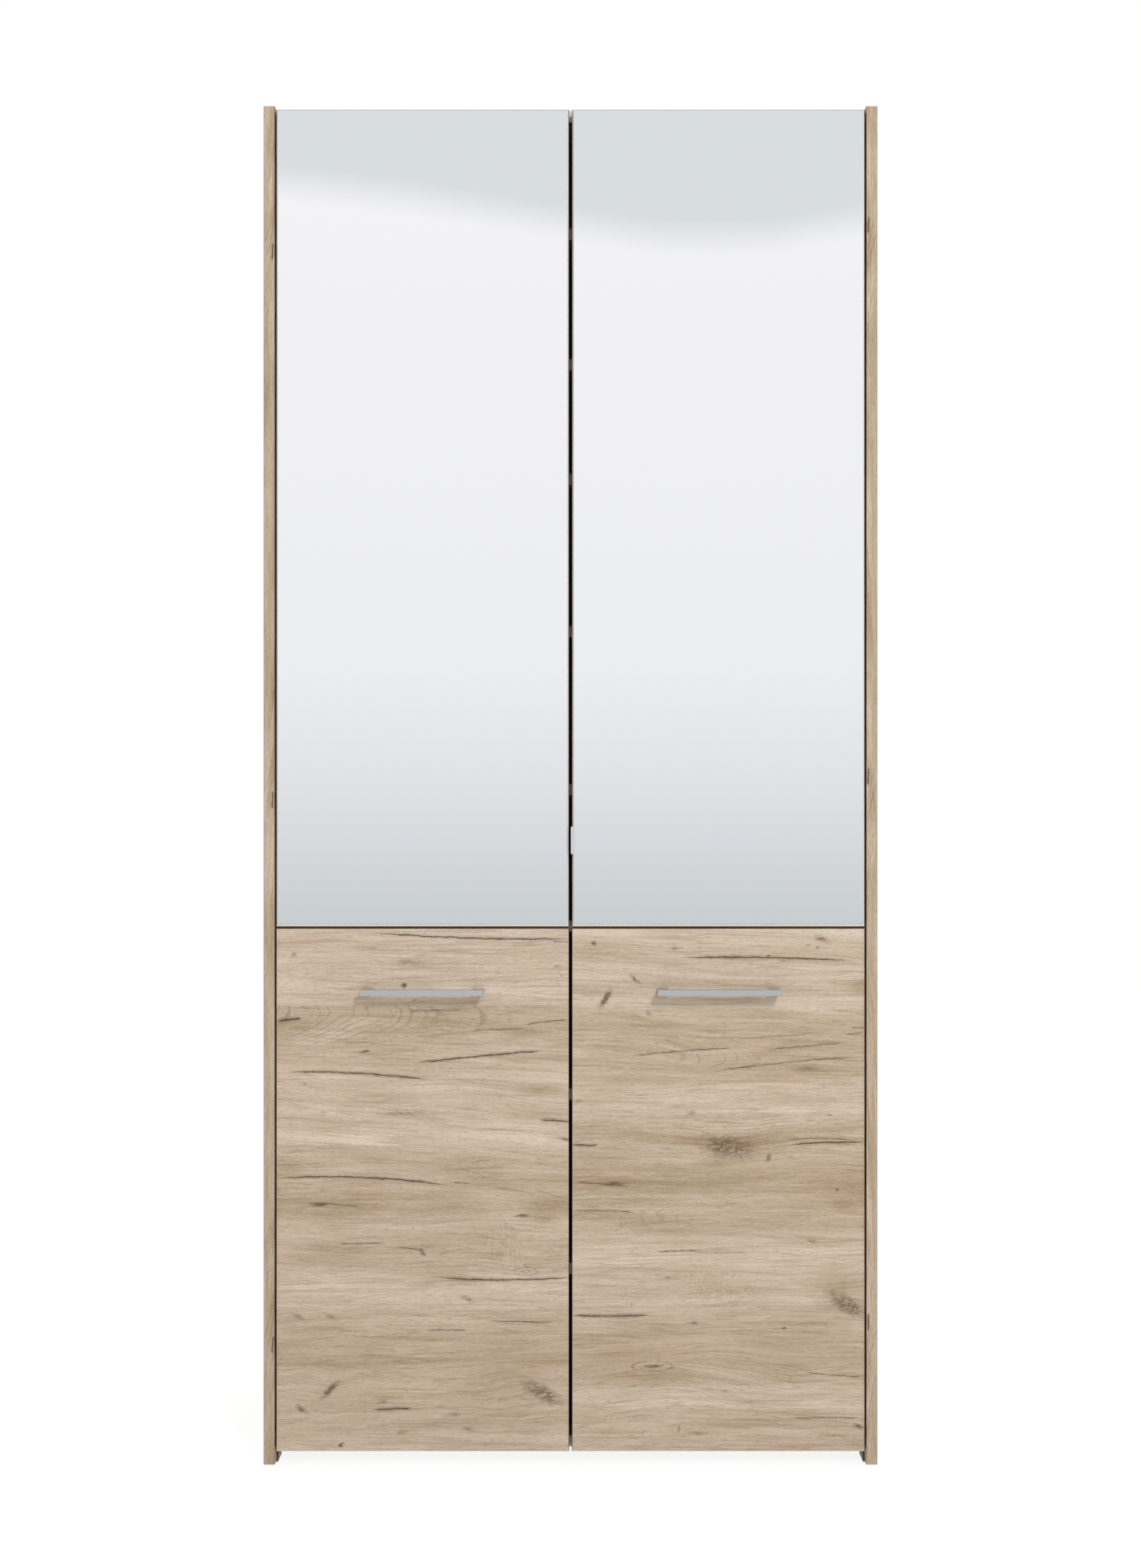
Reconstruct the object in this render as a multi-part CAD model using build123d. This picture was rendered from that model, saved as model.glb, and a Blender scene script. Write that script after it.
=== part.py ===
from build123d import *
import os
from math import cos, hypot, pi, sqrt

# Driving dimensions, in millimetres. The overall sizes follow from the doors and the compartments.
door_width = 420.0
door_thickness = 16.0
board_thickness = 16.0
back_thickness = 3.0
carcass_depth = 400.0
side_gap = 2.0
centre_gap = 4.0
level_gap = 3.0
top_gap = 5.0
bottom_height = 21.0
swing_clearance = 0.5
panel_edge_radius = 1.0
door_edge_chamfer = 0.8

# Clear heights of the compartments, from the floor up
lower_first_clear = 233.0
lower_second_clear = 236.0
lower_third_clear = 226.5
upper_first_clear = 181.5
upper_second_clear = 212.0
upper_third_clear = 204.0
upper_fourth_clear = 150.0
upper_fifth_clear = 172.0
upper_sixth_clear = 154.0

# Loose shelves and the pins under them
shelf_end_clearance = 0.5
shelf_rear_clearance = 2.0
pin_radius = 2.5
pin_length = 8.0
pin_depth = 9.0
pin_inset = 50.0
seat_clearance = 0.05

# Back sheets
back_margin = 2.0
back_seam = 1.0

# Board joints: cam locks, their bolts and the dowels
cam_radius = 7.5
cam_height = 12.5
cam_distance = 34.0
cam_inset = 60.0
cam_slot_width = 1.4
cam_slot_length = 9.0
cam_slot_depth = 2.0
bolt_radius = 3.0
bolt_depth = 11.0
dowel_radius = 4.0
dowel_length = 30.0
dowel_depth = 10.0
dowel_spacing = 32.0
bore_clearance = 0.1
bore_end_clearance = 0.3

# Foot glides
sole_thickness = 2.0
glide_flange_thickness = 2.0
glide_flange_height = 15.0
glide_length = 40.0
glide_inset = 20.0
glide_edge_margin = 0.5

# Mirrors on the upper doors
mirror_thickness = 4.0
mirror_side_strip = 2.5
mirror_top_strip = 2.0
mirror_bottom_strip = 3.0
mirror_bevel = 0.8

# Bar handles on the lower doors
handle_length = 176.0
handle_height = 9.0
handle_bar_thickness = 8.0
handle_projection = 30.0
handle_pitch = 160.0
handle_foot_length = 10.0
handle_foot_spread = 3.0
handle_drop = 90.0
handle_edge_chamfer = 0.8

# Finger pull on the centre edge of the upper right door
pull_height = 39.0
pull_drop = 123.5
pull_sheet = 1.5
pull_reach = 8.0
pull_lip = 5.5
pull_back_flange = 12.0
pull_bend_chamfer = 0.6

# Bumpers behind the free corners of the doors
bumper_radius = 3.0
bumper_edge_distance = 3.4
bumper_inset = 30.0
bumper_clearance = 0.3

# Concealed hinges: cup in the door, pin across the cup, gooseneck arm on a plate
cup_radius = 17.4
cup_wall = 1.0
cup_floor = 0.5
cup_depth = 12.7
cup_bore_clearance = 0.1
cup_edge_distance = 4.0
flange_thickness = 1.2
flange_rim = 1.6
flange_ear_length = 58.0
flange_ear_width = 15.0
flange_ear_chamfer = 4.0
flange_ear_offset = 6.0
lug_width = 6.0
lug_rise = 3.0
lug_clearance = 0.6
hinge_pin_radius = 1.2
hinge_pin_clearance = 0.1
hinge_pin_fit = 0.02
knuckle_radius = 2.1
knuckle_clearance = 0.3
arm_width = 12.0
arm_thickness = 3.0
arm_fold = 4.0
arm_wall_gap = 3.4
arm_return_gap = 5.0
arm_side_thickness = 1.2
arm_side_clearance = 0.3
arm_side_drop = 5.0
plate_length = 46.0
plate_start = 4.0
plate_base_thickness = 2.0
plate_rail_height = 8.0
plate_wing_length = 20.0
plate_wing_span = 48.0
plate_wing_chamfer = 5.0

# Round fittings repeat often, so they are drawn with flats
fitting_sides = 8
cam_sides = 12
cup_sides = 20
pin_sides = 12

# Overall sizes and levels
lower_clear_heights = [lower_first_clear, lower_second_clear, lower_third_clear]
upper_clear_heights = [
    upper_first_clear,
    upper_second_clear,
    upper_third_clear,
    upper_fourth_clear,
    upper_fifth_clear,
    upper_sixth_clear,
]
inner_half = door_width + side_gap + centre_gap / 2
outer_half = inner_half + board_thickness
mid_underside = bottom_height + sum(lower_clear_heights) + len(lower_clear_heights) * board_thickness
mid_centre = mid_underside + board_thickness / 2
top_underside = (
    mid_underside + sum(upper_clear_heights) + len(upper_clear_heights) * board_thickness
)
overall_height = top_underside + board_thickness
lower_door_bottom = bottom_height
lower_door_top = mid_centre - level_gap / 2
upper_door_bottom = mid_centre + level_gap / 2
upper_door_top = overall_height - top_gap

# Places from front to back. The origin is under the middle of the whole outline, handles counted.
front_y = (handle_projection - carcass_depth) / 2
door_back_y = front_y + door_thickness
boards_rear_y = front_y + carcass_depth - back_thickness
rear_y = front_y + carcass_depth

# The hinge pin sits just above the cup's floor. Its distance from the side panel lets both the
# door's own front corner and the mirror's front corner swing past the panel.
hinge_pin_depth = door_thickness - cup_depth + cup_floor + knuckle_clearance + knuckle_radius


def pin_distance(corner_distance, corner_rise):
    # Distance from the panel at which a corner swings past it with the named clearance
    reach = corner_distance**2 - swing_clearance**2 + (hinge_pin_depth + corner_rise) ** 2
    return reach / (2 * (corner_distance - swing_clearance))


hinge_pin_distance = max(
    pin_distance(side_gap, 0.0),
    pin_distance(side_gap + mirror_side_strip, mirror_thickness),
)
back_corner_sweep = hypot(hinge_pin_distance - side_gap, door_thickness - hinge_pin_depth)
shelf_front_depth = hinge_pin_depth + back_corner_sweep + swing_clearance
shelf_front_y = front_y + shelf_front_depth
hinge_pin_x = -inner_half + hinge_pin_distance
hinge_pin_y = front_y + hinge_pin_depth
cup_x = -inner_half + side_gap + cup_edge_distance + cup_radius + cup_bore_clearance


def block(x_range, y_range, z_range):
    sizes = [span[1] - span[0] for span in (x_range, y_range, z_range)]
    middles = [(span[0] + span[1]) / 2 for span in (x_range, y_range, z_range)]
    return Pos(*middles) * Box(*sizes)


def rod_x(radius, x_range, y, z, sides=fitting_sides):
    rod = extrude(RegularPolygon(radius, sides), x_range[1] - x_range[0])
    return Pos(x_range[0], y, z) * Rot(0, 90, 0) * rod


def rod_y(radius, x, y_range, z, sides):
    rod = extrude(RegularPolygon(radius, sides), y_range[1] - y_range[0])
    return Pos(x, y_range[0], z) * Rot(-90, 0, 0) * rod


def rod_z(radius, x, y, z_range, sides):
    rod = extrude(RegularPolygon(radius, sides), z_range[1] - z_range[0])
    return Pos(x, y, z_range[0]) * rod


def right_hand(shape):
    return mirror(shape, about=Plane.YZ)


def both_sides(shapes):
    return shapes + [right_hand(shape) for shape in shapes]


def at_heights(shape, heights):
    return [Pos(0, 0, height) * shape for height in heights]


def stack(floor, clear_heights):
    # Undersides of the loose shelves that stand over the given clear heights
    undersides = []
    level = floor
    for clear_height in clear_heights[:-1]:
        level += clear_height
        undersides.append(level)
        level += board_thickness
    return undersides


def compartment_centres(floor, clear_heights):
    centres = []
    level = floor
    for clear_height in clear_heights:
        centres.append(level + clear_height / 2)
        level += clear_height + board_thickness
    return centres


lower_floor = bottom_height + board_thickness
upper_floor = mid_underside + board_thickness
lower_shelf_undersides = stack(lower_floor, lower_clear_heights)
upper_shelf_undersides = stack(upper_floor, upper_clear_heights)
shelf_undersides = lower_shelf_undersides + upper_shelf_undersides
fixed_undersides = [bottom_height, mid_underside, top_underside]

# Hinges sit in the middle of a compartment, so that no shelf meets them.
lower_centres = compartment_centres(lower_floor, lower_clear_heights)
upper_centres = compartment_centres(upper_floor, upper_clear_heights)
lower_hinge_heights = [lower_centres[0], lower_centres[-1]]
upper_hinge_heights = [upper_centres[0], upper_centres[2], upper_centres[-1]]

# Rows of joints and pins, from front to back
cam_rows = [shelf_front_y + cam_inset, boards_rear_y - cam_inset]
dowel_rows = [cam_rows[0] + dowel_spacing, cam_rows[1] - dowel_spacing]
pin_rows = [shelf_front_y + pin_inset, boards_rear_y - pin_inset]


# Carcass boards
def side_panel():
    panel = block(
        (-outer_half, -inner_half), (front_y, boards_rear_y), (sole_thickness, overall_height)
    )
    front_edges = panel.edges().filter_by(Axis.Z).group_by(Axis.Y)[0]
    panel = fillet(front_edges, panel_edge_radius)
    bores = []
    for underside in fixed_undersides:
        middle = underside + board_thickness / 2
        bolt_bore = (-inner_half - bolt_depth - bore_end_clearance, -inner_half)
        dowel_bore = (-inner_half - dowel_depth - bore_end_clearance, -inner_half)
        for row in cam_rows:
            bores.append(rod_x(bolt_radius + bore_clearance, bolt_bore, row, middle))
        for row in dowel_rows:
            bores.append(rod_x(dowel_radius + bore_clearance, dowel_bore, row, middle))
    pin_bore = (-inner_half - pin_depth - bore_end_clearance, -inner_half)
    for underside in shelf_undersides:
        for row in pin_rows:
            height = underside - pin_radius - seat_clearance
            bores.append(rod_x(pin_radius + seat_clearance, pin_bore, row, height))
    return panel - bores


def fixed_board(underside):
    board = block(
        (-inner_half, inner_half),
        (shelf_front_y, boards_rear_y),
        (underside, underside + board_thickness),
    )
    middle = underside + board_thickness / 2
    cam_bore = (underside, underside + cam_height + bore_end_clearance)
    bolt_bore = (-inner_half, -inner_half + cam_distance)
    dowel_reach = dowel_length - dowel_depth + bore_end_clearance
    dowel_bore = (-inner_half, -inner_half + dowel_reach)
    bores = []
    cam_x = -inner_half + cam_distance
    for row in cam_rows:
        bores.append(rod_z(cam_radius + bore_clearance, cam_x, row, cam_bore, cam_sides))
        bores.append(rod_x(bolt_radius + bore_clearance, bolt_bore, row, middle))
    for row in dowel_rows:
        bores.append(rod_x(dowel_radius + bore_clearance, dowel_bore, row, middle))
    return board - both_sides(bores)


def loose_shelf(underside):
    half_length = inner_half - shelf_end_clearance
    return block(
        (-half_length, half_length),
        (shelf_front_y, boards_rear_y - shelf_rear_clearance),
        (underside, underside + board_thickness),
    )


def back_sheet(bottom, top):
    half_width = outer_half - back_margin
    return block((-half_width, half_width), (boards_rear_y, rear_y), (bottom, top))


def cam_lock(underside, row):
    x = -inner_half + cam_distance
    cam = rod_z(cam_radius, x, row, (underside, underside + cam_height), cam_sides)
    slot_half = cam_slot_length / 2
    blade_half = cam_slot_width / 2
    depth = (underside, underside + cam_slot_depth)
    slots = [
        block((x - slot_half, x + slot_half), (row - blade_half, row + blade_half), depth),
        block((x - blade_half, x + blade_half), (row - slot_half, row + slot_half), depth),
    ]
    return cam - slots


def cam_bolt(underside, row):
    middle = underside + board_thickness / 2
    inner_end = -inner_half + cam_distance - cam_radius - bore_end_clearance
    return rod_x(bolt_radius, (-inner_half - bolt_depth, inner_end), row, middle)


def dowel(underside, row):
    start = -inner_half - dowel_depth
    middle = underside + board_thickness / 2
    return rod_x(dowel_radius, (start, start + dowel_length), row, middle)


def shelf_pin(underside, row):
    height = underside - pin_radius - seat_clearance
    return rod_x(pin_radius, (-inner_half - pin_depth, -inner_half + pin_length), row, height)


def foot_glide(start):
    sole_edge = -outer_half + glide_edge_margin
    flange_face = -inner_half + glide_flange_thickness
    length = (start, start + glide_length)
    sole = block((sole_edge, flange_face), length, (0, sole_thickness))
    flange_top = sole_thickness + glide_flange_height
    flange = block((-inner_half, flange_face), length, (0, flange_top))
    glide = sole + flange
    outer_corners = glide.edges().filter_by(Axis.X).group_by(Axis.Z)[-1]
    return chamfer(outer_corners, glide_flange_thickness)


# Concealed hinge of a left door, at height zero
def hinge_cup():
    floor_y = door_back_y - cup_depth
    mouth_y = door_back_y + flange_thickness
    shell = rod_y(cup_radius, cup_x, (floor_y, door_back_y), 0, cup_sides)
    rim = rod_y(cup_radius + flange_rim, cup_x, (door_back_y, mouth_y), 0, cup_sides)
    ear_x = cup_x + flange_ear_offset
    ears = block(
        (ear_x - flange_ear_width / 2, ear_x + flange_ear_width / 2),
        (door_back_y, mouth_y),
        (-flange_ear_length / 2, flange_ear_length / 2),
    )
    ears = chamfer(ears.edges().filter_by(Axis.Y), flange_ear_chamfer)
    hollow_radius = cup_radius - cup_wall
    hollow = rod_y(hollow_radius, cup_x, (floor_y + cup_floor, mouth_y), 0, cup_sides)
    lug_start = arm_width / 2 + lug_clearance
    lugs = []
    for side in (-1, 1):
        lug_span = sorted((side * lug_start, side * cup_radius))
        lugs.append(
            block(
                (hinge_pin_x - lug_width / 2, hinge_pin_x + lug_width / 2),
                (floor_y, hinge_pin_y + lug_rise),
                lug_span,
            )
        )
    inside = rod_y(cup_radius, cup_x, (floor_y, mouth_y), 0, cup_sides)
    carriers = Part() + [lug & inside for lug in lugs]
    bore_half = hinge_pin_half_length() + hinge_pin_fit
    bore_radius = hinge_pin_radius + hinge_pin_fit
    pin_bore = rod_z(bore_radius, hinge_pin_x, hinge_pin_y, (-bore_half, bore_half), pin_sides)
    return (shell + rim + ears) - hollow + carriers - pin_bore


def hinge_pin_half_length():
    # The pin's ends stop at the flats of the cup's outline
    flat_distance = cup_radius * cos(pi / cup_sides)
    pin_edge = abs(hinge_pin_x - cup_x) + hinge_pin_radius
    return sqrt(flat_distance**2 - pin_edge**2) - hinge_pin_fit


def hinge_pin():
    half_length = hinge_pin_half_length()
    span = (-half_length, half_length)
    return rod_z(hinge_pin_radius, hinge_pin_x, hinge_pin_y, span, pin_sides)


def folded_strip(folds, thickness):
    # Face of a strip that follows the fold points, mitred at each of them
    near_side = []
    far_side = []
    for index, point in enumerate(folds):
        arriving = (point - folds[index - 1]) if index else (folds[1] - point)
        leaving = (folds[index + 1] - point) if index + 1 < len(folds) else arriving
        first_normal = arriving.normalized().rotate(Axis.Z, 90)
        second_normal = leaving.normalized().rotate(Axis.Z, 90)
        mitre = (first_normal + second_normal) * (thickness / 2)
        mitre = mitre * (1 / (1 + first_normal.dot(second_normal)))
        near_side.append(point + mitre)
        far_side.append(point - mitre)
    return make_face(Polyline(*near_side, *reversed(far_side), close=True))


def hinge_arm():
    # The gooseneck goes from the pin across the cup, out of its mouth and back to the panel, so
    # that the door's edge can turn round behind the pin.
    riser_x = cup_x + cup_radius - cup_wall - arm_wall_gap - arm_thickness / 2
    return_y = shelf_front_y + arm_return_gap
    strap_x = -inner_half + plate_rail_height + arm_thickness / 2
    strap_end = return_y + plate_start + plate_length
    folds = [
        Vector(hinge_pin_x, hinge_pin_y),
        Vector(riser_x - arm_fold, hinge_pin_y),
        Vector(riser_x, hinge_pin_y + arm_fold),
        Vector(riser_x, return_y - arm_fold),
        Vector(riser_x - arm_fold, return_y),
        Vector(strap_x + arm_fold, return_y),
        Vector(strap_x, return_y + arm_fold),
        Vector(strap_x, strap_end),
    ]
    neck = Pos(0, 0, -arm_width / 2) * extrude(folded_strip(folds, arm_thickness), arm_width)
    span = (-arm_width / 2, arm_width / 2)
    knuckle = rod_z(knuckle_radius, hinge_pin_x, hinge_pin_y, span, pin_sides)
    cheek_start = arm_width / 2
    cheek_x = (strap_x - arm_thickness / 2 - arm_side_drop, strap_x + arm_thickness / 2)
    cheeks = []
    for side in (-1, 1):
        cheek_span = sorted((side * cheek_start, side * (cheek_start + arm_side_thickness)))
        cheeks.append(block(cheek_x, (return_y + plate_start, strap_end), cheek_span))
    bore_radius = hinge_pin_radius + hinge_pin_clearance
    pin_bore = rod_z(bore_radius, hinge_pin_x, hinge_pin_y, span, pin_sides)
    return neck + knuckle + cheeks - pin_bore


def hinge_plate():
    start_y = shelf_front_y + arm_return_gap + plate_start
    rail_half = arm_width / 2 - arm_side_clearance
    rail = block(
        (-inner_half, -inner_half + plate_rail_height),
        (start_y, start_y + plate_length),
        (-rail_half, rail_half),
    )
    wing_y = start_y + plate_length / 2
    wings = block(
        (-inner_half, -inner_half + plate_base_thickness),
        (wing_y - plate_wing_length / 2, wing_y + plate_wing_length / 2),
        (-plate_wing_span / 2, plate_wing_span / 2),
    )
    wings = chamfer(wings.edges().filter_by(Axis.X), plate_wing_chamfer)
    return rail + wings


# Left doors and what is fixed to them
door_x = (-inner_half + side_gap, -inner_half + side_gap + door_width)


def door_slab(bottom, top, hinge_heights):
    slab = block(door_x, (front_y, door_back_y), (bottom, top))
    slab = chamfer(slab.faces().sort_by(Axis.Y)[0].edges(), door_edge_chamfer)
    bore_floor = door_back_y - cup_depth - cup_bore_clearance
    bore_radius = cup_radius + cup_bore_clearance
    depth = (bore_floor, door_back_y)
    return slab - [rod_y(bore_radius, cup_x, depth, z, cup_sides) for z in hinge_heights]


def mirror_glass():
    glass = block(
        (door_x[0] + mirror_side_strip, door_x[1] - mirror_side_strip),
        (front_y - mirror_thickness, front_y),
        (upper_door_bottom + mirror_bottom_strip, upper_door_top - mirror_top_strip),
    )
    return chamfer(glass.faces().sort_by(Axis.Y)[0].edges(), mirror_bevel)


def bar_handle():
    middle_x = (door_x[0] + door_x[1]) / 2
    middle_z = lower_door_top - handle_drop
    bar_front = front_y - handle_projection
    heights = (middle_z - handle_height / 2, middle_z + handle_height / 2)
    bar = block(
        (middle_x - handle_length / 2, middle_x + handle_length / 2),
        (bar_front, bar_front + handle_bar_thickness),
        heights,
    )
    bar = chamfer(bar.edges(), handle_edge_chamfer)
    feet = []
    for side in (-1, 1):
        foot_x = middle_x + side * handle_pitch / 2
        half_top = handle_foot_length / 2
        half_base = half_top + handle_foot_spread
        profile = Polyline(
            (foot_x - half_base, front_y),
            (foot_x - half_top, bar_front + handle_bar_thickness / 2),
            (foot_x + half_top, bar_front + handle_bar_thickness / 2),
            (foot_x + half_base, front_y),
            close=True,
        )
        foot = extrude(make_face(profile), handle_height - 2 * handle_edge_chamfer)
        feet.append(Pos(0, 0, heights[0] + handle_edge_chamfer) * foot)
    return bar + feet


def edge_pull():
    # Bent sheet on the right door's centre edge: back flange, edge web and front lip
    edge_x = centre_gap / 2
    lip_y = front_y - mirror_thickness - pull_reach
    middle_z = upper_door_bottom + pull_drop
    heights = (middle_z - pull_height / 2, middle_z + pull_height / 2)
    web_x = edge_x - pull_sheet
    web = block((web_x, edge_x), (lip_y, door_back_y + pull_sheet), heights)
    lip = block((web_x, web_x + pull_lip), (lip_y, lip_y + pull_sheet), heights)
    flange = block(
        (web_x, edge_x + pull_back_flange), (door_back_y, door_back_y + pull_sheet), heights
    )
    sheet = web + lip + flange
    outer_bends = sheet.edges().filter_by(Axis.Z).group_by(Axis.X)[0]
    return chamfer(outer_bends, pull_bend_chamfer)


def bumpers(bottom, top):
    x = door_x[1] - bumper_inset
    reach = (door_back_y, shelf_front_y - bumper_clearance)
    return [
        rod_y(bumper_radius, x, reach, height, pin_sides)
        for height in (bottom + bumper_edge_distance, top - bumper_edge_distance)
    ]


# Every piece by its node name
upper_door = door_slab(upper_door_bottom, upper_door_top, upper_hinge_heights)
lower_door = door_slab(lower_door_bottom, lower_door_top, lower_hinge_heights)
left_panel = side_panel()
seam_half = back_seam / 2
rear_glide_start = boards_rear_y - glide_inset - glide_length
glide_starts = [front_y + glide_inset, rear_glide_start]
fixed_cam_places = [(underside, row) for underside in fixed_undersides for row in cam_rows]
fixed_dowel_places = [(underside, row) for underside in fixed_undersides for row in dowel_rows]
shelf_pin_places = [(underside, row) for underside in shelf_undersides for row in pin_rows]

nodes = {
    "left_side_panel": left_panel,
    "right_side_panel": right_hand(left_panel),
    "bottom_panel": fixed_board(bottom_height),
    "mid_shelf": fixed_board(mid_underside),
    "top_panel": fixed_board(top_underside),
    "lower_back_panel": back_sheet(bottom_height + back_margin, mid_centre - seam_half),
    "upper_back_panel": back_sheet(mid_centre + seam_half, overall_height - back_margin),
    "cam_locks": both_sides([cam_lock(*place) for place in fixed_cam_places]),
    "cam_bolts": both_sides([cam_bolt(*place) for place in fixed_cam_places]),
    "dowels": both_sides([dowel(*place) for place in fixed_dowel_places]),
    "shelf_pins": both_sides([shelf_pin(*place) for place in shelf_pin_places]),
    "foot_glides": both_sides([foot_glide(start) for start in glide_starts]),
    "upper_right_finger_pull": edge_pull(),
}
for number, underside in enumerate(lower_shelf_undersides, start=1):
    nodes[f"lower_shelf_{number}"] = loose_shelf(underside)
for number, underside in enumerate(upper_shelf_undersides, start=1):
    nodes[f"upper_shelf_{number}"] = loose_shelf(underside)

levels = {
    "upper": (upper_door, upper_hinge_heights, upper_door_bottom, upper_door_top),
    "lower": (lower_door, lower_hinge_heights, lower_door_bottom, lower_door_top),
}
for level, (slab, hinge_heights, bottom, top) in levels.items():
    left_pieces = {
        "door": slab,
        "hinge_cups": at_heights(hinge_cup(), hinge_heights),
        "hinge_pins": at_heights(hinge_pin(), hinge_heights),
        "hinge_arms": at_heights(hinge_arm(), hinge_heights),
        "hinge_plates": at_heights(hinge_plate(), hinge_heights),
        "bumpers": bumpers(bottom, top),
    }
    left_pieces.update({"mirror": mirror_glass()} if level == "upper" else {"handle": bar_handle()})
    for piece, shape in left_pieces.items():
        nodes[f"{level}_left_{piece}"] = shape
        if isinstance(shape, list):
            nodes[f"{level}_right_{piece}"] = [right_hand(solid) for solid in shape]
        else:
            nodes[f"{level}_right_{piece}"] = right_hand(shape)

os.makedirs("parts", exist_ok=True)
for name, shape in nodes.items():
    if isinstance(shape, list):
        shape = Compound(children=shape)
    export_step(shape, f"parts/{name}.step")
print(f"{len(nodes)} nodes, {2 * outer_half:.1f} wide, {overall_height:.1f} high")
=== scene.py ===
import math
import random

import bmesh
import bpy
from mathutils import Matrix, Vector


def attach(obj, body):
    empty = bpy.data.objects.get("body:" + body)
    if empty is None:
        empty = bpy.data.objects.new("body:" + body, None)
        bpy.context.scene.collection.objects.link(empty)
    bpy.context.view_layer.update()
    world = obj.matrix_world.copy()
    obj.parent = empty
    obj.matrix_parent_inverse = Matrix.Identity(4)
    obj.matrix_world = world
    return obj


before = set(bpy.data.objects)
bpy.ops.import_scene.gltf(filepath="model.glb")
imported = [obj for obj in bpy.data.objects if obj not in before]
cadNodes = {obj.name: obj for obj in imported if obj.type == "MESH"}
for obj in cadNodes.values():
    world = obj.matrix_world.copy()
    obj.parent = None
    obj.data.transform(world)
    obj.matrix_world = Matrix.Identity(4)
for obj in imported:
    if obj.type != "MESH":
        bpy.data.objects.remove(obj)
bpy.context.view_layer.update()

scene = bpy.context.scene
doorNames = ("upper_left", "upper_right", "lower_left", "lower_right")


# short hands for shader nodes
def paint(red, green, blue):  # a colour as seen on screen, 0 to 255
    def linear(level):
        level /= 255
        return level / 12.92 if level <= 0.04045 else ((level + 0.055) / 1.055) ** 2.4
    return (linear(red), linear(green), linear(blue), 1.0)


def put(tree, kind, **settings):
    node = tree.nodes.new("ShaderNode" + kind)
    for key, value in settings.items():
        setattr(node, key, value)
    return node


def feed(tree, socket, value):
    if isinstance(value, bpy.types.NodeSocket):
        tree.links.new(value, socket)
    else:
        socket.default_value = value


def calc(tree, how, *values, clamp=False):
    node = put(tree, "Math", operation=how, use_clamp=clamp)
    for socket, value in zip(node.inputs, values):
        feed(tree, socket, value)
    return node.outputs[0]


def ramp(tree, value, gain, start=0.0):  # straight rise, kept between 0 and 1
    return calc(tree, "MULTIPLY_ADD", value, gain, start, clamp=True)


def centred(tree, value):  # 0 to 1 becomes -0.5 to 0.5
    return calc(tree, "SUBTRACT", value, 0.5)


def vectorCalc(tree, how, first, second):
    node = put(tree, "VectorMath", operation=how)
    feed(tree, node.inputs[0], first)
    feed(tree, node.inputs[1], second)
    return node.outputs["Value" if how == "DOT_PRODUCT" else "Vector"]


def splitAxes(tree, vector):
    node = put(tree, "SeparateXYZ")
    feed(tree, node.inputs[0], vector)
    return node.outputs


def joinAxes(tree, *values):
    node = put(tree, "CombineXYZ")
    for socket, value in zip(node.inputs, values):
        feed(tree, socket, value)
    return node.outputs[0]


def blendColour(tree, share, first, second):
    node = put(tree, "Mix", data_type="RGBA")
    feed(tree, node.inputs[0], share)
    feed(tree, node.inputs[6], first)
    feed(tree, node.inputs[7], second)
    return node.outputs[2]


def colourTable(tree, value, stops, blend="LINEAR"):  # stops are (place, colour), in any order
    stops = sorted(stops, key=lambda stop: stop[0])
    low, high = stops[0][0], stops[-1][0]
    node = put(tree, "ValToRGB")
    bar = node.color_ramp
    bar.interpolation = blend
    bar.elements.remove(bar.elements[1])
    for index, (place, colour) in enumerate(stops):
        share = (place - low) / (high - low)
        stop = bar.elements.new(share) if index else bar.elements[0]
        stop.position = share
        stop.color = colour
    feed(tree, node.inputs[0], calc(tree, "MULTIPLY_ADD", value, 1 / (high - low), -low / (high - low)))
    return node.outputs["Color"]


def noiseOver(tree, place, stretch, detail=2.0, rough=0.5):  # stretch is the size of one fleck
    node = put(tree, "TexNoise")
    feed(tree, node.inputs["Vector"], vectorCalc(tree, "MULTIPLY", place, [1 / size for size in stretch]))
    node.inputs["Scale"].default_value = 1.0
    node.inputs["Detail"].default_value = detail
    node.inputs["Roughness"].default_value = rough
    return node.outputs[0]


def newFinish(name):
    finish = bpy.data.materials.new(name)
    finish.use_nodes = True
    tree = finish.node_tree
    tree.nodes.clear()
    shader = put(tree, "BsdfPrincipled")
    output = put(tree, "OutputMaterial")
    tree.links.new(shader.outputs[0], output.inputs[0])
    return finish, tree, shader


def addBump(tree, shader, height, depth, strength=0.5):
    bump = put(tree, "Bump")
    bump.inputs["Strength"].default_value = strength
    bump.inputs["Distance"].default_value = depth
    feed(tree, bump.inputs["Height"], height)
    tree.links.new(bump.outputs[0], shader.inputs["Normal"])


def millimetres(tree):  # place on the piece, in mm of the armoire's own frame
    return vectorCalc(tree, "MULTIPLY", put(tree, "TexCoord").outputs["Object"], (1000, 1000, 1000))


def wear(names, finish):
    for name in names:
        for slot in cadNodes[name].material_slots:
            slot.material = finish


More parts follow.
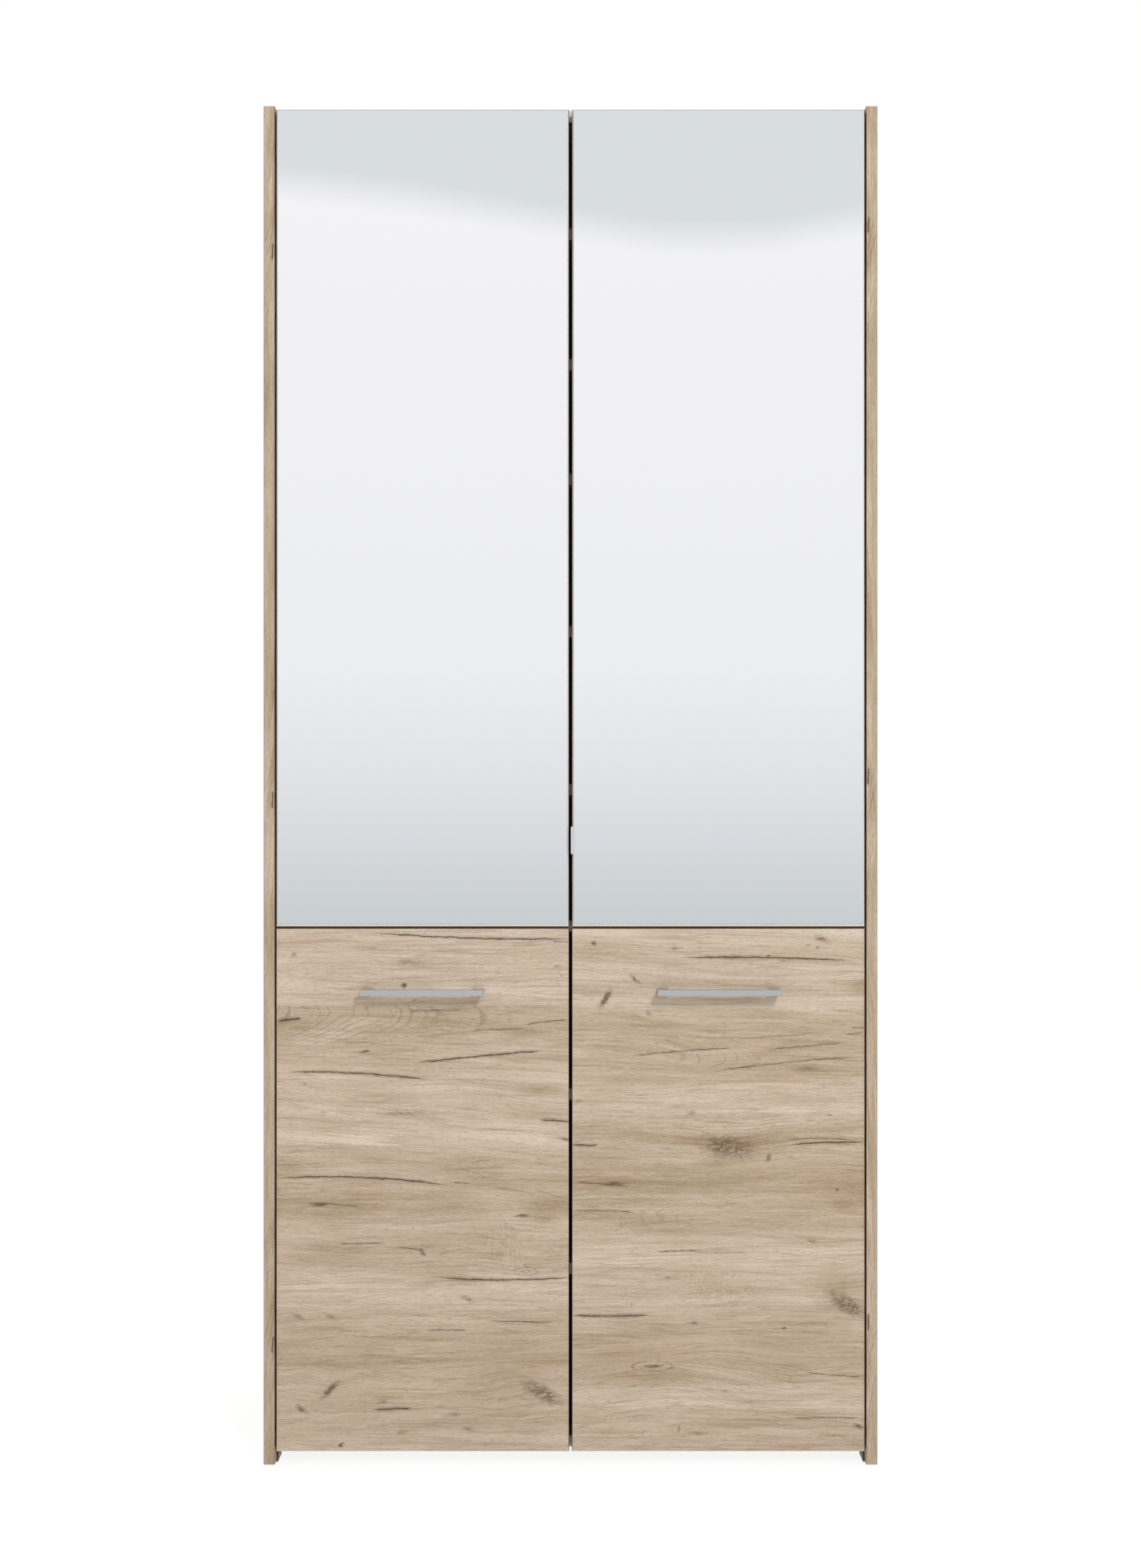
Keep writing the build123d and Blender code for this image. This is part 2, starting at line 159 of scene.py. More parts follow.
# knotty oak decor: planks side by side, with cracks and knots where the print has them
oakLook = {
    "light": paint(222, 206, 188),
    "rosy": paint(217, 196, 179),
    "dark": paint(152, 129, 97),
    "crack": paint(66, 50, 38),
    "knot": paint(108, 88, 67),
    "pore": paint(138, 115, 90),
    # rim is pale edging and also painted light on edges that face down; edge is painted shade in the gaps and
    # on edges that face up or sideways
    "rim": paint(244, 238, 230),
    "edge": paint(78, 58, 44),
    "seedStep": 900.0,  # keeps the planks' pieces of grain apart, mm
    # how far things wander, mm; two values are along and across
    "grainWander": 18.0, "toneWander": 7.0, "swathWander": (70.0, 26.0), "archWander": 60.0,
    "raggedReach": (9.0, 4.5), "tornReach": (9.0, 4.0),
    # size of one fleck along, across and in depth (mm), detail, roughness where it isn't a half
    "flecks": {
        "wander": ((230, 60, 40), 2), "rosy": ((160, 45, 40), 1), "ripple": ((3.2, 26, 9), 1),
        "patches": ((130, 24, 10), 2), "broad": ((240, 13, 10), 2), "streaks": ((110, 3.4, 10), 3, 0.6),
        "fine": ((22, 1.7, 10), 2, 0.65), "dashes": ((6.5, 1.2, 10), 1),
        "ringWave": ((240, 30, 10), 2), "ringShare": ((120, 22, 20), 1), "growth": ((38, 60, 9), 2),
        "pores": ((12, 1.1, 10), 1), "lines": ((260, 8, 5), 2),
        "ragged": ((16, 9, 9), 3, 0.65), "torn": ((6, 3, 9), 2, 0.6), "curls": ((15, 7, 4), 3, 0.6),
    },
    # gain and start of what is stretched between 0 and 1
    "contrast": {
        "tone": (0.625, 0.15), "rosy": (2.6, -1.0), "ringShare": (2.6, -0.95), "growth": (3.0, -0.8),
        "pores": (6.0, -3.5), "lines": (-26.0, 1.0), "curls": (-9.0, 1.15),
    },
    # weight of each layer of streaks in the tone
    "layers": {"patches": 0.75, "broad": 0.8, "streaks": 0.58, "fine": 0.75, "dashes": 0.65},
    # gain and start of the speckles in a mark
    "speckles": {"knots": (0.6, 0.45), "burls": (0.75, 0.25), "eyes": (0.7, 0.4)},
    "ringPitch": 6.0, "ringWander": 7.0, "ringPower": 3.0, "ringWeight": 0.5,
    "poreWeight": 0.55, "lineWeight": 0.36, "knotWeight": 1.4, "swathWeight": 1.5, "markLimit": 0.95,
    "grainDepth": 0.00012, "grainRelief": 0.4,  # m, share
    "roughness": 0.42, "roughSpread": 0.16, "shine": 0.35,
}


def oakNoise(tree, place, name):
    return noiseOver(tree, place, *oakLook["flecks"][name])


def nudged(tree, along, across, noise, reach):  # the flat place, moved by a noise
    return joinAxes(tree, calc(tree, "MULTIPLY_ADD", noise, reach[0], along),
                    calc(tree, "MULTIPLY_ADD", noise, reach[1], across), 0.0)


def stretched(tree, value, name):
    return ramp(tree, value, *oakLook["contrast"][name])


def speckled(tree, shape, speckle, name):
    return calc(tree, "MULTIPLY", shape, calc(tree, "MULTIPLY_ADD", speckle, *oakLook["speckles"][name]))


def crackMark(tree, along, across, mark):  # dark line that thins out at both ends
    middle, height, half, rise, bow, width, depth = mark
    reach = calc(tree, "MULTIPLY_ADD", along, 1 / half, -middle / half)
    slope = calc(tree, "MULTIPLY_ADD", reach, bow, rise)
    line = calc(tree, "MULTIPLY_ADD", slope, reach, height)
    away = calc(tree, "ABSOLUTE", calc(tree, "SUBTRACT", across, line))
    taper = calc(tree, "MULTIPLY_ADD", calc(tree, "MULTIPLY", reach, reach), -1.5 * width, 1.8 * width)
    taper = calc(tree, "MINIMUM", taper, width)
    body = ramp(tree, calc(tree, "SUBTRACT", taper, away), 1.6)
    halo = calc(tree, "MULTIPLY_ADD", taper, 5.0, -1.0)
    halo = ramp(tree, calc(tree, "SUBTRACT", halo, away), 0.12 * depth)
    return calc(tree, "MULTIPLY", body, depth), halo


def spotMark(tree, place, mark):  # 1 in the middle of an oval, 0 at its edge
    x, z, wide, tall, turn = mark[:5]
    mapping = put(tree, "Mapping", vector_type="TEXTURE")
    feed(tree, mapping.inputs["Vector"], place)
    mapping.inputs["Location"].default_value = (x, z, 0)
    mapping.inputs["Rotation"].default_value = (0, 0, math.radians(turn))
    mapping.inputs["Scale"].default_value = (wide, tall, 1)
    gradient = put(tree, "TexGradient", gradient_type="SPHERICAL")
    tree.links.new(mapping.outputs[0], gradient.inputs[0])
    return gradient.outputs["Fac"]


def archMark(tree, along, across, place, mark):  # nested growth rings cut off by the plank's edge
    x, z, curve, spacing, wide, tall, depth, edge = mark
    drop = calc(tree, "SUBTRACT", across, z)
    ring = calc(tree, "MULTIPLY_ADD", calc(tree, "MULTIPLY", drop, drop), curve, along)
    growth = oakNoise(tree, joinAxes(tree, ring, across, 0.0), "growth")
    line = calc(tree, "PINGPONG", calc(tree, "MULTIPLY_ADD", growth, 3.0 * spacing, ring), spacing / 2)
    line = calc(tree, "MULTIPLY", ramp(tree, line, -0.5, 1.0), stretched(tree, growth, "growth"))
    shape = ramp(tree, spotMark(tree, place, (x, z, wide, tall, 0)), 1.8)
    shape = calc(tree, "MULTIPLY", shape, calc(tree, "LESS_THAN", across, edge))
    return calc(tree, "MULTIPLY", calc(tree, "MULTIPLY", line, shape), depth)


def oakGrain(tree, board, along, across, flat):
    # each plank has its own piece of grain and its own slope
    plankStops = [(edge, (seed, 0.5 + slope, 0, 1)) for edge, seed, slope in board["planks"]]
    plank = splitAxes(tree, colourTable(tree, across, plankStops, "CONSTANT"))
    seedShift = calc(tree, "MULTIPLY", plank[0], oakLook["seedStep"])
    broadPlace = joinAxes(tree, along, across, seedShift)
    wander = centred(tree, oakNoise(tree, broadPlace, "wander"))
    drift = calc(tree, "MULTIPLY_ADD", wander, oakLook["grainWander"], across)
    for bulge in board.get("bulges", ()):
        drift = calc(tree, "MULTIPLY_ADD", spotMark(tree, flat, bulge), bulge[5], drift)
    drift = calc(tree, "MULTIPLY_ADD", along, centred(tree, plank[1]), drift)
    grainPlace = joinAxes(tree, along, drift, seedShift)

    # bands of tone, then paler and darker swaths, flecks across the grain and layers of streaks
    toneHeight = calc(tree, "MULTIPLY_ADD", wander, oakLook["toneWander"], across)
    toneStops = [(height, (tone, tone, tone, 1)) for height, tone in board["tones"]]
    tone = splitAxes(tree, colourTable(tree, toneHeight, toneStops))[0]
    swathPlace = nudged(tree, along, across, wander, oakLook["swathWander"])
    for mark in board.get("swaths", ()):
        shape = spotMark(tree, swathPlace, mark)
        tone = calc(tree, "MULTIPLY_ADD", shape, oakLook["swathWeight"] * mark[5], tone)
    ripple = centred(tree, oakNoise(tree, swathPlace, "ripple"))
    for mark in board.get("ripples", ()):
        shape = calc(tree, "MULTIPLY", spotMark(tree, swathPlace, mark), 2.0 * mark[5])
        tone = calc(tree, "MULTIPLY_ADD", calc(tree, "MINIMUM", shape, mark[5]), ripple, tone)
    layers = {}
    for layer, weight in oakLook["layers"].items():
        layers[layer] = oakNoise(tree, grainPlace, layer)
        tone = calc(tree, "MULTIPLY_ADD", centred(tree, layers[layer]), weight, tone)

    # growth rings: each fades in slowly and ends sharply
    rings = calc(tree, "MULTIPLY", drift, 1 / oakLook["ringPitch"])
    rings = calc(tree, "MULTIPLY_ADD", oakNoise(tree, grainPlace, "ringWave"), oakLook["ringWander"], rings)
    rings = calc(tree, "POWER", calc(tree, "FRACT", rings), oakLook["ringPower"])
    ringShare = stretched(tree, oakNoise(tree, grainPlace, "ringShare"), "ringShare")
    rings = calc(tree, "MULTIPLY", rings, ringShare)
    tone = stretched(tree, calc(tree, "MULTIPLY_ADD", rings, oakLook["ringWeight"], tone), "tone")
    rosy = stretched(tree, oakNoise(tree, broadPlace, "rosy"), "rosy")
    colour = blendColour(tree, rosy, oakLook["light"], oakLook["rosy"])
    colour = blendColour(tree, tone, colour, oakLook["dark"])

    # pores, and thin lines where a slow noise crosses its middle
    pores = stretched(tree, oakNoise(tree, grainPlace, "pores"), "pores")
    lines = calc(tree, "ABSOLUTE", centred(tree, oakNoise(tree, grainPlace, "lines")))
    lines = stretched(tree, lines, "lines")
    poreShare = calc(tree, "MAXIMUM", calc(tree, "MULTIPLY", pores, oakLook["poreWeight"]),
                     calc(tree, "MULTIPLY", lines, oakLook["lineWeight"]))
    return blendColour(tree, poreShare, colour, oakLook["pore"]), layers, wander


def oakMarks(tree, board, colour, along, across, flat, wander):
    # marks have ragged edges
    ragged = centred(tree, oakNoise(tree, flat, "ragged"))
    torn = centred(tree, oakNoise(tree, flat, "torn"))
    raggedAlong, raggedAcross = [
        calc(tree, "MULTIPLY_ADD", ragged, reach, axis)
        for reach, axis in zip(oakLook["raggedReach"], (along, across))
    ]
    raggedPlace = nudged(tree, raggedAlong, raggedAcross, torn, oakLook["tornReach"])
    curls = calc(tree, "ABSOLUTE", centred(tree, oakNoise(tree, raggedPlace, "curls")))
    speckle = stretched(tree, curls, "curls")

    knots = 0.0
    for mark in board["knots"]:
        shape = spotMark(tree, raggedPlace, mark)
        shape = calc(tree, "MULTIPLY", shape, calc(tree, "ADD", shape, 0.55))
        knots = calc(tree, "MULTIPLY_ADD", shape, oakLook["knotWeight"] * mark[5], knots)
    knots = speckled(tree, knots, speckle, "knots")
    for mark in board.get("burls", ()):
        shape = speckled(tree, ramp(tree, spotMark(tree, raggedPlace, mark), 1.6), speckle, "burls")
        knots = calc(tree, "MAXIMUM", knots, calc(tree, "MULTIPLY", shape, mark[5]))
    for mark in board.get("eyes", ()):
        shape = spotMark(tree, raggedPlace, mark)
        ring = calc(tree, "PINGPONG", calc(tree, "MULTIPLY_ADD", shape, mark[6], 0.3), 0.5)
        ring = calc(tree, "MULTIPLY", ramp(tree, ring, -5.0, 1.0), mark[5])
        ring = calc(tree, "MULTIPLY", ring, ramp(tree, shape, 4.0))
        knots = calc(tree, "MAXIMUM", knots, speckled(tree, ring, speckle, "eyes"))
    bentAlong = calc(tree, "MULTIPLY_ADD", wander, oakLook["archWander"], raggedAlong)
    for mark in board.get("arches", ()):
        knots = calc(tree, "MAXIMUM", knots, archMark(tree, bentAlong, raggedAcross, flat, mark))
    colour = blendColour(tree, calc(tree, "MINIMUM", knots, oakLook["markLimit"]), colour, oakLook["knot"])

    cracks = halos = 0.0
    for mark in board["cracks"]:
        body, halo = crackMark(tree, along, raggedAcross, mark)
        cracks = calc(tree, "MAXIMUM", cracks, body)
        halos = calc(tree, "MAXIMUM", halos, halo)
    colour = blendColour(tree, halos, colour, oakLook["knot"])
    return blendColour(tree, cracks, colour, oakLook["crack"]), cracks


def oakEdges(tree, board, colour, spot):
    # painted shade darkens the edges that face up or sideways, painted light brightens those that face down
    facing = splitAxes(tree, put(tree, "TexCoord").outputs["Normal"])
    sideways, frontward = [calc(tree, "ABSOLUTE", axis) for axis in facing[:2]]
    level = calc(tree, "MULTIPLY", frontward, facing[2])
    colour = blendColour(tree, ramp(tree, level, -board.get("underLight", 0.0)), colour, oakLook["rim"])
    colour = blendColour(tree, ramp(tree, level, board.get("topShade", 0.0)), colour, oakLook["edge"])
    slanted = calc(tree, "MULTIPLY_ADD", frontward, 1.4, board.get("sideShade", 0.0))
    edge = calc(tree, "MULTIPLY", sideways, slanted, clamp=True)
    colour = blendColour(tree, ramp(tree, edge, board["edgeShade"]), colour, oakLook["edge"])
    if "rimShare" in board:  # pale strip round the mirror; pale fronts of the shelves, which are pale edging and also painted light let in by the gaps
        rim = ramp(tree, facing[1], -10.0, -9.0)
        colour = blendColour(tree, calc(tree, "MULTIPLY", rim, board["rimShare"]), colour, oakLook["rim"])
    if "paintedGapShade" in board:  # painted shade darkens the fronts towards the gaps beside the doors
        middle, half, width, shade = board["paintedGapShade"]
        reach = calc(tree, "SUBTRACT", calc(tree, "ABSOLUTE", splitAxes(tree, spot)[0]), middle)
        paintedGapShade = ramp(tree, calc(tree, "ABSOLUTE", reach), 1 / width, (width - half) / width)
        paintedGapShade = calc(tree, "MULTIPLY", paintedGapShade, frontward)
        colour = blendColour(tree, calc(tree, "MULTIPLY", paintedGapShade, shade), colour, oakLook["edge"])
    return colour


def oakDecor(name, board):
    finish, tree, shader = newFinish(name)
    spot = millimetres(tree)
    along = calc(tree, "ADD", vectorCalc(tree, "DOT_PRODUCT", spot, board["along"]), board["alongStart"])
    across = calc(tree, "ADD", vectorCalc(tree, "DOT_PRODUCT", spot, board["across"]), board["acrossStart"])
    flat = joinAxes(tree, along, across, 0.0)
    colour, layers, wander = oakGrain(tree, board, along, across, flat)
    colour, cracks = oakMarks(tree, board, colour, along, across, flat, wander)
    feed(tree, shader.inputs["Base Color"], oakEdges(tree, board, colour, spot))
    height = calc(tree, "MULTIPLY_ADD", layers["fine"], 0.5, calc(tree, "MULTIPLY", layers["streaks"], 0.5))
    height = calc(tree, "SUBTRACT", height, cracks)
    addBump(tree, shader, height, oakLook["grainDepth"], oakLook["grainRelief"])
    roughness = calc(tree, "MULTIPLY_ADD", layers["fine"], oakLook["roughSpread"], oakLook["roughness"])
    feed(tree, shader.inputs["Roughness"], roughness)
    shader.inputs["Specular IOR Level"].default_value = oakLook["shine"]
    return finish


# marks of boards the photo hardly shows; rise, bow and height are shares of the length or width
strayCrack = {"half": (14, 75), "rise": (-0.05, 0.05), "bow": (-0.04, 0.04), "width": (0.6, 1.1),
              "depth": (0.4, 0.9)}
strayKnot = {"wide": (6, 26), "tall": (0.25, 0.6), "turn": (-30, 30), "depth": (0.35, 0.8)}


def scatterMarks(seed, alongSpan, acrossSpan, crackCount, knotCount):
    dice = random.Random(seed)
    cracks = []
    for _ in range(crackCount):
        half = dice.uniform(*strayCrack["half"])
        cracks.append((
            dice.uniform(*alongSpan), dice.uniform(*acrossSpan), half,
            dice.uniform(*strayCrack["rise"]) * half, dice.uniform(*strayCrack["bow"]) * half,
            dice.uniform(*strayCrack["width"]), dice.uniform(*strayCrack["depth"]),
        ))
    knots = []
    for _ in range(knotCount):
        wide = dice.uniform(*strayKnot["wide"])
        knots.append((
            dice.uniform(*alongSpan), dice.uniform(*acrossSpan), wide,
            wide * dice.uniform(*strayKnot["tall"]), dice.uniform(*strayKnot["turn"]),
            dice.uniform(*strayKnot["depth"]),
        ))
    return {"cracks": cracks, "knots": knots}


# doors: grain runs across, heights in mm from the floor
doorGrain = {
    "along": (1, 0.2, 0), "alongStart": 37.0,
    "across": (0, 1, 1), "acrossStart": 185.0,
    # painted shade on the edges beside the gaps and on edges that face up, painted light on edges that face
    # down
    "edgeShade": 0.95, "sideShade": 0.45, "underLight": 2.0, "topShade": 1.8,
    "paintedGapShade": (0.0, 422.0, 6.0, 0.14),  # painted shade towards the gaps: middle line, distance of the edges from it, width, depth
}

lowerLeftOak = {
    **doorGrain,
    "planks": [(0, 0.13, 0.0), (224, 0.47, 0.01), (442, 0.71, 0.05), (660, 0.29, 0.0), (800, 0.29, 0.0)],
    "tones": [
        (771, 0.25), (720, 0.35), (685, 0.2), (661, 0.35), (659, 0.7), (625, 0.7), (555, 0.3), (500, 0.4),
        (470, 0.1), (440, 0.5), (370, 0.8), (345, 0.35), (310, 0.6), (250, 0.2), (215, 0.5), (150, 0.75),
        (125, 0.55), (50, 0.45), (21, 0.2),
    ],
    # x, height, half width, half height, turn, change of tone
    "swaths": [
        (-345, 617, 65, 18, 8, -0.4), (-75, 617, 55, 15, 0, 0.3), (-225, 568, 70, 24, 0, 0.18),
        (-340, 558, 60, 15, 0, -0.3), (-50, 537, 45, 13, 0, 0.4), (-285, 474, 65, 17, 0, -0.22),
        (-15, 474, 28, 14, 0, 0.3), (-405, 430, 32, 24, 0, 0.22), (-130, 426, 65, 26, -5, 0.24),
        (-295, 388, 65, 19, 0, 0.2), (-110, 376, 75, 15, 0, -0.27), (-260, 355, 85, 15, 0, -0.24),
        (-36, 356, 45, 14, 0, 0.5), (-330, 316, 65, 15, 0, 0.2), (-250, 266, 65, 19, -20, -0.28),
        (-165, 268, 45, 21, -20, 0.22), (-205, 678, 40, 12, 0, 0.2),
    ],
    # flecks across the grain: the same and their depth
    "ripples": [(-98, 320, 44, 44, 0, 0.9), (-373, 524, 24, 32, 0, 0.8), (-281, 513, 14, 30, 0, 0.7)],
    # middle, height, half length, rise, bow, half width, depth
    "cracks": [
        (-143, 757, 143, -4.5, 3.5, 1.1, 0.9), (-14, 752, 13, -1, 0, 0.8, 0.75),
        (-194, 653, 39, 1, 0, 0.8, 0.75), (-403, 640, 18, 2, 0, 1.3, 0.9),
        (-34, 637, 33, 4, 0, 0.8, 0.75), (-103, 626, 38, 1, 0, 0.8, 0.75),
        (-129, 588, 95, 9, -1, 1.1, 0.9), (-304, 563, 102, -5.5, -3.5, 1.1, 0.9),
        (-21, 495, 21, -1, 0, 1.1, 0.9), (-82, 482, 47, -2, 0, 0.7, 0.4),
        (-301, 414, 120, -4.5, -6, 1.1, 0.9), (-156, 406, 13, -1, 0, 0.8, 0.75),
        (-138, 420, 17, -5.5, 0, 0.7, 0.4), (-78, 395, 28, -5.5, 0, 0.7, 0.4),
        (-33, 391, 21, -6, 0, 0.7, 0.4), (-338, 375, 41, -3, -0.5, 0.8, 0.75),
        (-299, 319, 35, 0, 0, 0.8, 0.75), (-306, 312, 25, 1.5, 0, 0.7, 0.4),
        (-229, 312, 21, -2, 0, 0.8, 0.75), (-96, 267, 96, 0, 3.5, 1.1, 0.9),
        (-70, 207, 51, -1, 0, 0.8, 0.75), (-177, 195, 30, 0, 0, 0.8, 0.75),
        (-254, 82, 28, 1, 0, 1.1, 0.9), (-181, 123, 19, 2, 0, 0.7, 0.4),
        (-166, 621, 67, 6.5, 0, 0.7, 0.4), (-298, 594, 8, 0.5, 0, 0.7, 0.4),
    ],
    # x, height, half width, half height, turn, depth
    "knots": [
        (-239, 689, 6, 5.5, 0, 0.9), (-230, 722, 39.5, 9, 0, 0.35), (-223, 668, 4.5, 2.5, 0, 0.6),
        (-397, 734, 6, 9, 20, 0.3), (-19, 717, 7.5, 3, 0, 0.45), (-12, 703, 4.5, 3, 0, 0.3),
        (-382, 548, 6, 2.5, 0, 0.55), (-293, 595, 10.5, 3, 10, 0.65), (-8, 469, 13.5, 4.5, -10, 0.6),
        (-237, 506, 60.5, 7.5, 0, 0.3), (-359, 375, 16.5, 4.5, 0, 0.85), (-68, 359, 18, 3.5, 0, 0.65),
        (-212, 306, 4.5, 9, 30, 0.85), (-149, 240, 18, 6, -15, 0.5), (-391, 214, 18, 6, -20, 0.35),
        (-343, 214, 15, 6, -25, 0.35), (-345, 109, 24.5, 7, 46, 0.8), (-385, 81, 15, 6, -38, 0.55),
        (-270, 92, 12, 6, 0, 0.4), (-169, 73, 21.5, 7.5, 10, 0.3), (-147, 53, 15, 6, 0, 0.3),
        (-242, 48, 13.5, 4.5, 0, 0.35), (-328, 30, 5.5, 5, 0, 0.85),
    ],
    "burls": [(-42, 106, 42, 14, -30, 0.85)],
    # the same and the number of rings
    "eyes": [(-64, 279, 24, 8, 0, 0.6, 2.2)],
    # x, height, curve, ring spacing, half width, half height, depth, plank edge
    "arches": [(-320, 652, 0.035, 17, 170, 76, 0.6, 660), (-165, 648, 0.04, 20, 100, 44, 0.45, 660)],
    # x, height, half width, half height, turn, lift of the grain
    "bulges": [(-60, 110, 90, 45, -20, -14), (-64, 285, 70, 26, 0, 9), (-345, 109, 60, 40, 20, 8)],
}

lowerRightOak = {
    **doorGrain,
    "planks": [(0, 0.83, 0.0), (116, 0.59, 0.0), (339, 0.37, -0.01), (550, 0.91, 0.03), (800, 0.91, 0.03)],
    "tones": [
        (771, 0.1), (740, 0.45), (700, 0.2), (690, 0.55), (665, 0.25), (635, 0.6), (551, 0.55), (549, 0.45),
        (510, 0.25), (465, 0.75), (440, 0.5), (405, 0.95), (385, 0.7), (335, 0.55), (300, 0.15), (275, 0.45),
        (240, 0.3), (190, 0.6), (117, 0.6), (115, 0.35), (95, 0.2), (55, 0.6), (21, 0.5),
    ],
    "swaths": [
        (25, 740, 45, 22, 0, 0.17), (350, 716, 65, 13, 0, -0.17), (408, 682, 25, 17, 0, 0.3),
        (90, 626, 105, 20, 0, 0.13), (300, 598, 55, 13, 5, 0.3), (262, 464, 55, 24, 0, 0.32),
        (212, 436, 35, 13, 0, 0.25), (130, 476, 50, 13, 0, -0.18), (200, 396, 95, 15, 0, 0.12),
        (405, 376, 32, 15, 0, 0.32), (140, 348, 65, 26, 0, 0.2), (390, 252, 55, 42, -20, 0.36),
        (40, 210, 55, 24, 0, -0.17), (150, 208, 55, 15, 0, 0.17), (365, 133, 65, 15, 0, -0.24),
    ],
    "ripples": [(227, 255, 48, 36, 0, 0.9), (87, 249, 20, 32, 0, 0.9), (180, 270, 26, 28, 0, 0.6)],
    "cracks": [
        (280, 729, 122, -2, -2, 1.1, 0.9), (159, 595, 75, 5.5, -1.5, 0.8, 0.75),
        (336, 602, 55, 5.5, 0, 0.8, 0.75), (314, 579, 107, 10.5, -2.5, 0.8, 0.75),
        (412, 628, 10, 0, 0, 0.8, 0.75), (407, 620, 13, 1, 0, 0.8, 0.75), (355, 470, 47, 0, -2.5, 0.8, 0.75),
        (368, 464, 53, 1.5, -2, 1.1, 0.9), (21, 460, 19, 0, 0, 1.1, 0.9), (45, 404, 42, -3, 1, 0.8, 0.75),
        (49, 366, 46, -1.5, -2, 0.8, 0.75), (156, 308, 35, 1, 0, 0.8, 0.75), (228, 306, 28, 0.5, 0, 0.7, 0.4),
        (80, 284, 26, 0.5, 0, 0.7, 0.4), (57, 215, 55, 0, 1.5, 1.1, 0.9), (378, 130, 43, -3, 2, 0.8, 0.75),
        (368, 69, 53, 0.5, 0, 0.8, 0.75), (19, 467, 16, 1.5, 0, 0.7, 0.4), (291, 616, 61, 5, 0, 0.7, 0.4),
        (246, 572, 26, 4, 2, 0.8, 0.5),
    ],
    "knots": [
        (34, 750, 5.5, 5.5, 0, 0.8), (360, 756, 18, 7.5, -20, 0.5), (355, 744, 4.5, 2.5, 0, 0.5),
        (341, 747, 4.5, 3, 0, 0.4), (151, 743, 13.5, 2.5, 0, 0.5), (284, 732, 4.5, 2.5, 0, 0.6),
        (93, 698, 15, 5, -35, 0.65), (50, 670, 23, 7, 57, 0.85), (112, 649, 7.5, 6, 0, 0.45),
        (340, 570, 33.5, 9, 0, 0.35), (12, 523, 7.5, 4, 0, 0.4), (174, 506, 10.5, 6, 0, 0.3),
        (372, 504, 6, 2.5, 0, 0.55), (284, 442, 4.5, 10.5, -15, 0.6), (245, 444, 4.5, 9, 20, 0.5),
        (62, 405, 23, 4.5, 0, 0.85), (382, 396, 3.5, 2.5, 0, 0.85), (346, 323, 9, 6, -10, 0.45),
        (140, 270, 9, 2, 0, 0.55), (87, 232, 6, 2, 0, 0.5), (177, 205, 21.5, 4.5, 0, 0.45),
        (306, 198, 5.5, 2, 0, 0.85), (222, 108, 6, 2.5, 20, 0.6), (413, 57, 13.5, 6, -10, 0.6),
        (104, 47, 2, 10.5, 0, 0.35), (155, 51, 2, 10.5, 0, 0.5), (180, 47, 21.5, 4.5, 0, 0.4),
        (376, 44, 24.5, 3, 0, 0.5), (119, 143, 22, 3.5, 4, 0.9),
    ],
    "burls": [(224, 458, 52, 21, -8, 0.9), (396, 232, 42, 15, -33, 0.85)],
    "eyes": [(117, 143, 42, 10.5, 0, 0.75, 2.2)],
    "arches": [(110, 352, -0.06, 24, 80, 26, 0.4, 380), (215, 583, 0.1, 30, 75, 30, 0.55, 604)],
    "bulges": [(150, 140, 190, 60, 0, -22), (228, 455, 110, 50, 0, 10), (190, 590, 80, 30, 0, 10)],
}


def upperOak(seed, span):  # behind the mirrors only the rims and the backs show
    return {
        **doorGrain,
        # painted shade darkens the rims beside the gaps
        "rimShare": 1.0, "paintedGapShade": (212.0, 210.0, 2.4, 0.95),
        "planks": [(700, 0.2, 0.01), (985, 0.7, 0.0), (1203, 0.4, 0.02), (1421, 0.9, 0.0), (1640, 0.3, 0.01),
                   (1858, 0.6, 0.0), (2000, 0.6, 0.0)],
        "tones": [(700 + 81 * step, 0.3 + 0.2 * math.sin(2.1 * step + seed)) for step in range(17)],
        **scatterMarks(seed, span, (790, 1930), 16, 10),
    }


wear(["lower_left_door"], oakDecor("knottyOakLowerLeft", lowerLeftOak))
wear(["lower_right_door"], oakDecor("knottyOakLowerRight", lowerRightOak))
wear(["upper_left_door"], oakDecor("knottyOakUpperLeft", upperOak(3, (-410, -15))))
wear(["upper_right_door"], oakDecor("knottyOakUpperRight", upperOak(8, (15, 410))))
print("oak decor on the doors")


